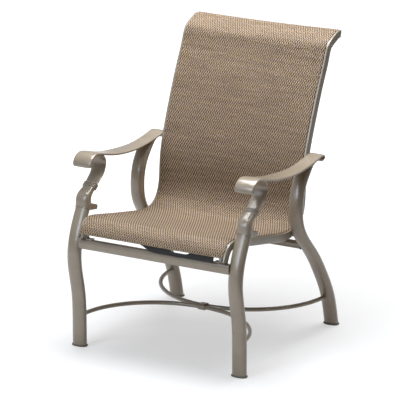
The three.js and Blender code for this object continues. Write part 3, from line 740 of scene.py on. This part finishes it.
def ear(name, side):
    base, _ = post.at(post.length * ear_root_share)
    reach = ear_length - ear_tip_radius
    way = np.array([0, math.cos(ear_slope), math.sin(ear_slope)])
    rise = square_to(way[1:])
    tip = np.linspace(0, math.pi / 2, 12)[1:-1]
    spans = [(d, (ear_root_height + (2 * ear_tip_radius - ear_root_height) * d / reach) / 2)
             for d in spread(0, reach, 5)]
    spans += [(reach + ear_tip_radius * math.sin(a), ear_tip_radius * math.cos(a)) for a in tip]
    spans.append((ear_length, 0.9))
    rings = []
    for distance, half in spans:
        pull = max(0, distance - reach) / ear_tip_radius
        thick = ear_thickness / 2 - ear_edge * pull ** 3
        section = rounded(-thick, thick, -half, half, ear_edge)
        at = np.array([side * frame_half_width, *base]) + distance * way
        rings.append(at + section @ np.array([ACROSS, rise]))
    loft(f"cast_ear_{name}", rings, frame_coat)


def bead(name, path, radius):
    """A weld bead along a closed path, with the scales that the torch leaves."""
    path = np.asarray(path, float)
    loop = np.vstack([path, path[:1]])
    steps = np.concatenate([[0], np.cumsum(np.linalg.norm(np.diff(loop, axis=0), axis=1))])
    count = max(24, int(steps[-1] / bead_step))
    places = np.arange(count) / count * steps[-1]
    spots = np.stack([np.interp(places, steps, loop[:, i]) for i in range(3)], -1)
    runs = np.roll(spots, -1, axis=0) - np.roll(spots, 1, axis=0)
    runs /= np.linalg.norm(runs, axis=1)[:, None]
    outward = spots - spots.mean(0)
    outward -= (outward * runs).sum(1)[:, None] * runs
    outward /= np.linalg.norm(outward, axis=1)[:, None]
    beside = np.cross(runs, outward)
    scales = max(6, round(steps[-1] / scale_length))
    swell = 1 - scale_dip * np.abs(np.sin(np.pi * scales * places / steps[-1])) ** 3
    section = oval(radius, radius, 2, 10)
    rings = [spot + grow * section @ np.array([a, b])
             for spot, grow, a, b in zip(spots, swell, outward, beside)]
    loft(name, rings, frame_coat, around=True, sharp=60)


def meeting(section, at, leg):
    """Where a cross piece of that section meets the inner face of a leg, as places in 3-D."""
    path = []
    for p in section:
        y, z = at + p
        off = min(abs(leg.beside(y, z)) / (tube_depth / 2), cope_share)
        x = frame_half_width - tube_width / 2 * (1 - off ** tube_roundness) ** (1 / tube_roundness)
        path.append((x, y, z))
    return np.array(path)


def leg_end_welds():
    """Beads under the arm posts' collars and where the rear legs meet the arms."""
    strap_reach = 60
    for name, side in SIDES.items():
        collar = side_rings(front_leg, [front_leg.length], [leg_tube * 1.01], side)[0]
        bead(f"weld_collar_{name}", collar, weld_radii["collar"])
        path = []
        reach = spread(rear_leg.length - strap_reach, rear_leg.length, fine_step / 2)
        rings = side_rings(rear_leg, reach, [leg_tube] * len(reach), side)
        for track in np.array(rings).transpose(1, 0, 2):
            gap = strap_underside(track[:, 1]) - track[:, 2]
            path.append(track[min(np.searchsorted(-gap, 0), len(track) - 1)])
        bead(f"weld_strap_{name}", path, weld_radii["strap"])


def cross_tube(name, height, depth, y, z, leg, node):
    """A tube between the legs, coped to them and welded all round."""
    cope_depth = 1
    section = oval(depth / 2, height / 2, stretcher_roundness, 64)
    path = meeting(section, np.array([y, z]), leg)
    path[:, 0] += cope_depth
    rings = [path * [share, 1, 1] for share in (1, 0.97, 0.5, 0, -0.5, -0.97, -1)]
    loft(name, rings, frame_coat, solid=node)
    for side_name, side in SIDES.items():
        bead(f"weld_{node}_{side_name}", path * [side, 1, 1], weld_radii[node])


def stretchers():
    """The front one lies under the noses of the rails. Gives the corner that rests on it."""
    spot, slope = rail.at(0.0)
    corner = spot - rail_depth * square_to(slope)[1:]
    level = corner[1] - seat_gap - front_stretcher_height / 2
    cross_tube("front_cross_tube", front_stretcher_height, front_stretcher_depth,
               corner[0] + front_stretcher_setback, level, front_leg, "front_stretcher")
    rear, _ = rear_leg.at(rear_leg.at_level(rear_stretcher_share * seat_height))
    cross_tube("rear_cross_tube", rear_stretcher_height, rear_stretcher_depth,
               rear[0] - rail_to_frame, rear[1], rear_leg, "rear_stretcher")
    return corner


def bow_rods():
    """Each rod is half an oval in a level plane, bent cold from round bar."""
    clamp_y = clamp_place_share * foot_spread
    offset = rod_radius + rod_gap / 2
    rod_reach = frame_half_width - rod_inset
    section = oval(rod_radius, rod_radius, 2, 16)
    ring = oval(rod_radius + 0.4, rod_radius + 0.4, 2, 24)
    for end, leg, way in (("front", front_leg, 1), ("rear", rear_leg, -1)):
        root, _ = leg.at(leg.at_level(rod_level))
        start = root[0] + way * tube_depth / 2
        bow = abs(clamp_y - way * offset - start)
        angle = np.linspace(0, math.pi, 110)
        x = np.pad(rod_reach * np.cos(angle), 1, "edge")
        y = np.pad(start + way * bow * np.sin(angle), 1, constant_values=root[0])
        run = np.stack([-rod_reach * np.sin(angle), way * bow * np.cos(angle)], -1)
        run = np.pad(run / np.linalg.norm(run, axis=1)[:, None], ((1, 1), (0, 0)), "edge")
        rings = [np.array([a, b, rod_level]) + section @ np.array([[-r[1], r[0], 0], UP])
                 for a, b, r in zip(x, y, run)]
        loft(f"bent_rod_{end}", rings, frame_coat, solid=f"bow_rod_{end}")
        for name, side in SIDES.items():
            centre = np.array([side * rod_reach, start, rod_level])
            bead(f"weld_rod_{end}_{name}", centre + ring @ np.array([ACROSS, UP]),
                 weld_radii["rod"])
    sleeve(clamp_y)


def sleeve(clamp_y):
    """The flat-oval sleeve pressed over both rods, with rolled rims."""
    reach = rod_radius + rod_gap / 2
    hole = rod_radius + clamp_clearance
    half = clamp_length / 2
    rim = clamp_wall / 2
    loop = [(half - rim + rim * math.cos(a), hole + rim + rim * math.sin(a))
            for a in np.linspace(-math.pi / 2, math.pi / 2, 9)]
    loop += [(-x, r) for x, r in reversed(loop)]
    turn = np.linspace(-math.pi / 2, math.pi / 2, 13)
    rings = []
    for x, radius in loop:
        right = np.stack([reach + radius * np.cos(turn), radius * np.sin(turn)], -1)
        section = np.vstack([right, -right])
        rings.append(np.array([x, clamp_y, rod_level]) + section @ np.array([-FORWARD, UP]))
    loft("rod_sleeve", rings, frame_coat, around=True, solid="rod_clamp")


def rail_outline(inset=0.0):
    return rounded(inset, rail_width - inset, inset - rail_depth, -inset, rail_corner, 7)


def rail_section():
    """The extrusion's outline from its outer face inward and back from its front face, with
    the keyhole slot."""
    outline = rail_outline()
    lip = math.acos(slot_mouth / 2 / slot_bore_radius)
    turn = np.linspace(lip, lip - (math.pi + 2 * lip), 15)
    keyhole = np.stack([
        slot_setback + slot_bore_radius * np.cos(turn),
        -slot_bore_depth + slot_bore_radius * np.sin(turn),
    ], -1)
    soft = 0.5
    half = slot_mouth / 2
    right = [(slot_setback + half + soft, 0), (slot_setback + half, -soft)]
    left = [(slot_setback - half, -soft), (slot_setback - half - soft, 0)]
    return np.vstack([outline[:7], right, keyhole, left, outline[7:]])


def rail_rings(distances, sections, side):
    """Sections of a rail, which are measured inward from its outer face."""
    return side_rings(rail, distances, [s * [-1, 1] for s in sections], side, rail_outer_x)


def sling_rails():
    """The two extrusions, closed at their ends by moulded plugs with soft rims."""
    ends = rail_cap_thickness + seat_gap
    reach = spread(ends, rail.length - ends, 5)
    plate = [*quarter(rail_cap_edge, 6)[::-1, ::-1], (rail_cap_thickness, 0.0)]
    sections = [rail_outline(inset) for _, inset in plate]
    for name, side in SIDES.items():
        rings = rail_rings(reach, [rail_section()] * len(reach), side)
        loft(f"extruded_rail_{name}", rings, rail_coat, solid=f"sling_rail_{name}")
        for end, start, way in (("lower", 0, 1), ("upper", rail.length, -1)):
            distances = np.array([start + way * depth for depth, _ in plate])
            loft(f"moulded_plug_{end}_{name}", rail_rings(distances, sections, side), cap_nylon,
                 solid=f"rail_cap_{end}_{name}")


def cloth_sag(share, x):
    """How far the sling hangs between its rails, most over the seat."""
    sag = seat_sag * (1 - smooth(share, *seat_to_back_shares) / 2)
    return sag * (1 - (x / rail_inner_x) ** 2)


def cloth_outline(share, upper_shift, lower_shift):
    """The sling's upper skin and its underside across the chair at one place: down one slot,
    over the rails, and down the other."""
    flat = np.linspace(1, -1, 61) * rail_inner_x
    drop = cloth_sag(share, flat)
    half = cloth_thickness / 2
    bend = 1.8

    def skin(lift, edge):
        right = [(edge, -cloth_tongue), *(np.array([edge, lift]) - quarter(bend, 6))]
        right += [(x, lift) for x in np.linspace(edge - bend, rail_inner_x, 5)[1:-1]]
        middle = [(x, lift - d) for x, d in zip(flat, drop)]
        left = [(-x, y) for x, y in reversed(right)]
        return np.array(right + middle + left)

    return (skin(cloth_gap + cloth_thickness + upper_shift, slot_x + half),
            skin(cloth_gap + lower_shift, slot_x - half))


def sling():
    """One woven panel, stretched between the slots and hemmed at both ends."""
    start, end = sling_inset_front, rail.length - sling_inset_top
    rim = cloth_thickness / 2
    hem_ends = hem_length - hem_step, hem_length + hem_step
    near = rim * (1 - np.cos(np.linspace(0.25, math.pi / 2, 5)))
    near = np.concatenate([near, [hem_length / 2, *hem_ends]])
    inset = hem_length + cloth_step
    reach = np.concatenate([
        start + near, spread(start + inset, end - inset, cloth_step), end - near[::-1],
    ])
    rings, uvs = [], []
    for distance, spot, slope in zip(reach, *rail.at(reach)):
        from_end = min(distance - start, end - distance)
        hem = hem_thickness * (1 - smooth(from_end, *hem_ends))
        inner = max(0.0, 1 - from_end / rim)
        pinch = rim * (1 - math.sqrt(1 - inner ** 2))
        upper, under = cloth_outline(distance / rail.length, -pinch, pinch - hem)
        held = np.abs(under[:, 0]) > rail_inner_x
        under[held, 1] = np.maximum(under[held, 1], -cloth_tongue)
        loop = np.vstack([upper, under[::-1]])
        steps = np.concatenate([[0], np.cumsum(np.linalg.norm(np.diff(upper, axis=0), axis=1))])
        around = steps[-1] / 2 - steps
        uvs += [(u, distance) for u in np.concatenate([around, around[::-1]])]
        at = np.array([0, *spot])
        rings.append(at + loop[:, :1] * ACROSS + loop[:, 1:] * square_to(slope))
    cloth = loft("woven_sling", rings, sling_weave, sharp=60, uv=uvs, solid="sling_cloth")
    hem_stitches(start, end)
    painted_shade_hem_strip(start)


def painted_shade_hem_strip(start):
    """A near-black strip under the front hem: painted shade for the shadow beneath the sling's
    front edge. Over one half it hangs in a shallow wave below the edge, with a slit over its slack
    middle."""
    sewn_depth = 5
    slit_drop = 11
    least_width = 1.5
    below_rails = 1.2
    stiff_reach = 12
    table = np.array(shade_strip_drop_shares) * [rail_inner_x, hem_length]
    slit = [share * rail_inner_x for share in shade_strip_slit_shares]
    shift = np.linspace(-stiff_reach, stiff_reach, 7)
    rings = []
    for x in spread(table[0, 0], table[-1, 0], 4):
        drop = np.mean(np.interp(x + shift, table[:, 0], table[:, 1]))
        slack = smooth(x, slit[0], slit[1]) * (1 - smooth(x, slit[2], slit[3]))
        upper = start + sewn_depth - slit_drop * slack
        lower = min(start - drop, upper - least_width)
        ring = []
        for distance, lift in ((upper, 0), (lower, 0), (lower, -1), (upper, -1)):
            spot, slope = rail.at(max(distance, 0))
            spot = spot + slope * min(distance, 0)
            depth = -below_rails - cloth_sag(0, x) + lift * shade_strip_thickness
            ring.append(np.array([x, *spot]) + square_to(slope) * depth)
        rings.append(np.array(ring))
    loft("painted_shade_strip_front", rings, painted_shade_strip, sharp=30)


def hem_stitches(start, end):
    """A row of lockstitch along each hem."""
    stitch = 3.0
    pitch = 4.2
    thick = 0.45
    from_rail = 4
    row_inset = hem_length - 3
    places_and_sizes = ((0, 0.2), (0.12, 0.9), (0.5, 1.1), (0.88, 0.9), (1, 0.2))
    section = oval(thick, thick, 2, 6)
    one_stitch = ring_faces(len(places_and_sizes), len(section))
    for name, place in (("front", start + row_inset), ("top", end - row_inset)):
        spot, slope = rail.at(place)
        out = square_to(slope)
        spots, faces = [], []
        for first in np.arange(-rail_inner_x + from_rail, rail_inner_x - from_rail, pitch):
            faces += [tuple(len(spots) + k for k in face) for face in one_stitch]
            for along, grow in places_and_sizes:
                x = first + stitch * along
                lift = cloth_gap + cloth_thickness - cloth_sag(place / rail.length, x)
                at = np.array([x, *spot]) + out * (lift + 0.1 * thick * grow)
                spots += list(at + grow * section @ np.array([[0, *slope], out]))
        finish_mesh(f"hem_stitches_{name}", spots, faces, thread)


def rail_axis(distance):
    """The middle of the rail behind its slot, where the screws and bolts pass."""
    spot, slope = rail.at(distance)
    return spot - rail_axis_depth * square_to(slope)[1:]


def spreader_bars():
    """Round tubes that push the rails apart and keep the sling tight, with a screw at each end."""
    length = 2 * (rail_inner_x - seat_gap)
    profile = chamfered(spreader_radius, length, spreader_chamfer, (1 / 3, 2 / 3))
    for place, share in spreader_place_shares.items():
        y, z = rail_axis(share * rail.length)
        rings = turned_rings(profile, -length / 2, 1, y, z, 40)
        loft(f"spreader_tube_{place}", rings, rail_coat, solid=f"spreader_bar_{place}")
        for name, side in SIDES.items():
            socket_head(f"socket_screw_{place}_{name}", screw_head_radius, screw_head_height,
                        side * (rail_outer_x + seat_gap), side, y, z,
                        f"spreader_screw_{place}_{name}")


def socket_head(name, radius, height, start, way, y, z, node):
    """A domed head with a hexagonal socket, seated at start and facing way."""
    dome = [(radius * math.cos(a), height * (0.25 + 0.75 * math.sin(a)))
            for a in np.linspace(0, 1.15, 7)]
    angle = np.arange(36) / 36 * math.tau
    flats = radius * math.cos(math.pi / 6) / np.cos(angle % (math.pi / 3) - math.pi / 6)
    socket = [(flats * size, height * depth)
              for size, depth in ((0.42, 0.97), (0.4, 0.9), (0.4, 0.3))]
    rings = turned_rings([(radius, 0.0), *dome, *socket], start, way, y, z)
    loft(name, rings, plain_steel, sharp=35, solid=node)


def seat_bolts():
    """Bolts that carry the rails on the rear legs, with a washer-like spacer between."""
    axis = np.array([rail_axis(d) for d in spread(0, rail.length / 2, 2)])
    gaps = [np.hypot(*(rear_leg.spots - p).T).min() for p in axis]
    y, z = axis[int(np.argmin(gaps))]
    spacer = chamfered(spacer_radius, rail_to_frame - 2 * seat_gap, spacer_chamfer)
    for name, side in SIDES.items():
        socket_head(f"seat_bolt_head_{name}", bolt_head_radius, bolt_head_height,
                    side * (rail_inner_x - seat_gap), -side, y, z, f"seat_bolt_{name}")
        rings = turned_rings(spacer, side * (rail_outer_x + seat_gap), side, y, z)
        loft(f"turned_spacer_{name}", rings, plain_steel, solid=f"seat_spacer_{name}")


def nose_brackets(corner):
    """Bent sheet angles welded to the front cross tube, against the rails' inner faces."""
    inner_bend = 3
    saw_allowance = 0.5
    half = bracket_width / 2 + saw_allowance
    section = np.vstack([
        (0, bracket_rise), quarter(inner_bend + bracket_sheet, 8), (bracket_reach, 0),
        (bracket_reach, bracket_sheet), bracket_sheet + quarter(inner_bend, 6)[::-1],
        (bracket_sheet, bracket_rise),
    ])
    for name, side in SIDES.items():
        rings = []
        for edge in (-half, half):
            at = np.array([side * (rail_inner_x - seat_gap), corner[0] + edge, corner[1]])
            rings.append(at + section @ np.array([-side * ACROSS, UP]))
        loft(f"sheet_bracket_{name}", rings, rail_coat, sharp=30, solid=f"nose_bracket_{name}")


def hidden_pieces():
    """Cords inside the slots and nuts inside the legs keep their own shape."""
    for name in SIDES:
        for node, finish in (("spline_cord", cord_vinyl), ("seat_nut", plain_steel)):
            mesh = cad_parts[f"{node}_{name}"].data
            mesh.materials.clear()
            mesh.materials.append(finish[0])


def rays(add):
    """The camera's own rays, and those that reach a surface by way of gloss or glass."""
    ray = add("LightPath").node.outputs
    mirrored = add("Math", (ray["Is Glossy Ray"], ray["Is Transmission Ray"]),
                   operation="ADD", use_clamp=True)
    return ray["Is Camera Ray"], mirrored


def studio_floor():
    """White paper. It shows pure white to the camera away from the chair, keeps the shadow under
    it, and is bright in the paint's reflections except past the sitter's left side."""
    bpy.ops.mesh.primitive_plane_add(size=14, location=(0, 2, 0))
    floor = bpy.context.object
    floor.name = "studio_floor"
    material, add = new_material("matt_white_paper")
    camera_ray, mirrored = rays(add)
    place = add("NewGeometry")
    leftward = add("SeparateXYZ", (place,))
    fade = add("MapRange", (leftward, 0.2, 1.1, 0.75, 0.0), **EASED)
    seen = add("Math", (mirrored, fade, camera_ray), operation="MULTIPLY_ADD", use_clamp=True)
    away = add("VectorMath", (place,), output=1, operation="DISTANCE")
    white = add("MapRange", (away, 0.7, 2.4, 0.5, 1.0), **EASED)
    lift = add("Math", (seen, white), operation="MULTIPLY")
    shader = add("BsdfPrincipled", {
        "Base Color": linear(0xC2BFBC), "Roughness": 0.9, "Emission Color": (1, 1, 1, 1),
        "Emission Strength": lift,
    })
    add("OutputMaterial", {"Surface": shader})
    floor.data.materials.append(material)


def studio_walls():
    """White for the camera, dim for the object, and dark on the side right of the camera."""
    world = bpy.data.worlds.new("studio")
    bpy.context.scene.world = world
    world.use_nodes = True
    world.node_tree.nodes.clear()
    add = partial(add_node, world.node_tree)
    camera_ray, mirrored = rays(add)
    way = add("TexCoord")
    facing = add("VectorMath", (way, tuple(bearing(52))), output=1, operation="DOT_PRODUCT")
    dark = add("MapRange", (facing, 0.1, 0.75, 1.0, 0.08), **EASED)
    height = add("SeparateXYZ", (way,), output=2)
    sky = add("MapRange", (height, -0.1, 0.9, 0.05, 0.26))
    soft = add("Math", (sky, dark), operation="MULTIPLY")
    shown = add("Math", (dark, 0.35), operation="MULTIPLY")
    lit = add("Mix", {"Factor": mirrored, 2: soft, 3: shown})
    level = add("Mix", {"Factor": camera_ray, 2: lit, 3: 1.0})
    backdrop = add("Background", {"Color": (1, 1, 1, 1), "Strength": level})
    add("OutputWorld", {"Surface": backdrop})


def bearing(degrees):
    """A level direction, measured from straight in front of the chair towards +X."""
    angle = math.radians(degrees)
    return Vector((math.sin(angle), -math.cos(angle), 0))


def soft_box(name, place, target, size, power, colour, turn=0):
    """A lamp that faces its target, in metres and watts, turned on its own stand by degrees."""
    lamp = bpy.data.objects.new(name, bpy.data.lights.new(name, "AREA"))
    lamp.data.shape = "RECTANGLE"
    lamp.data.size, lamp.data.size_y = size
    lamp.data.energy = power
    lamp.data.color = colour
    lamp.location = place
    lamp.rotation_euler = (Vector(target) - lamp.location).to_track_quat("-Z", "Y").to_euler()
    lamp.rotation_euler.z += math.radians(turn)
    bpy.context.scene.collection.objects.link(lamp)


def studio():
    """A large soft box overhead, turned so that the posts' flat faces miss it, and a bluish one
    in front."""
    studio_floor()
    studio_walls()
    soft_box("overhead_soft_box", place=(-0.05, 0.15, 3.0), target=(-0.05, 0.15, 0.4),
             size=(2.1, 1.8), power=110, colour=(0.89, 0.94, 1.0), turn=22)
    soft_box("front_soft_box", place=tuple(bearing(-12) * 3.3 + Vector((0, 0, 2.0))),
             target=(0, 0, 0.5), size=(1.2, 1.8), power=36, colour=(0.66, 0.8, 1.0))


def camera():
    """The photograph's view: 31 degrees round from the front and 16 degrees up, from far off.
    Its values are fitted to the photograph, which is 400 pixels wide."""
    azimuth, elevation = 0.535213421, 0.282326280
    distance = 9920.338
    focal_pixels = 3041.338
    photo_width = 400
    target = Vector((0, front_foot.y + 263.4, 475))
    back = Vector((math.sin(azimuth) * math.cos(elevation),
                   -math.cos(azimuth) * math.cos(elevation), math.sin(elevation)))
    data = bpy.data.cameras.new("camera")
    data.sensor_width = 36
    data.lens = focal_pixels / photo_width * data.sensor_width
    data.clip_end = 100
    view = bpy.data.objects.new("camera", data)
    view.location = (target + back * distance) * MM
    view.rotation_euler = (-back).to_track_quat("-Z", "Y").to_euler()
    bpy.context.scene.collection.objects.link(view)
    bpy.context.scene.camera = view


camera()
leg_tubes()
foot_caps()
arm_straps()
arm_posts()
leg_end_welds()
nose_corner = stretchers()
bow_rods()
sling_rails()
sling()
spreader_bars()
seat_bolts()
nose_brackets(nose_corner)
hidden_pieces()
studio()
bpy.context.scene.view_settings.view_transform = "Standard"
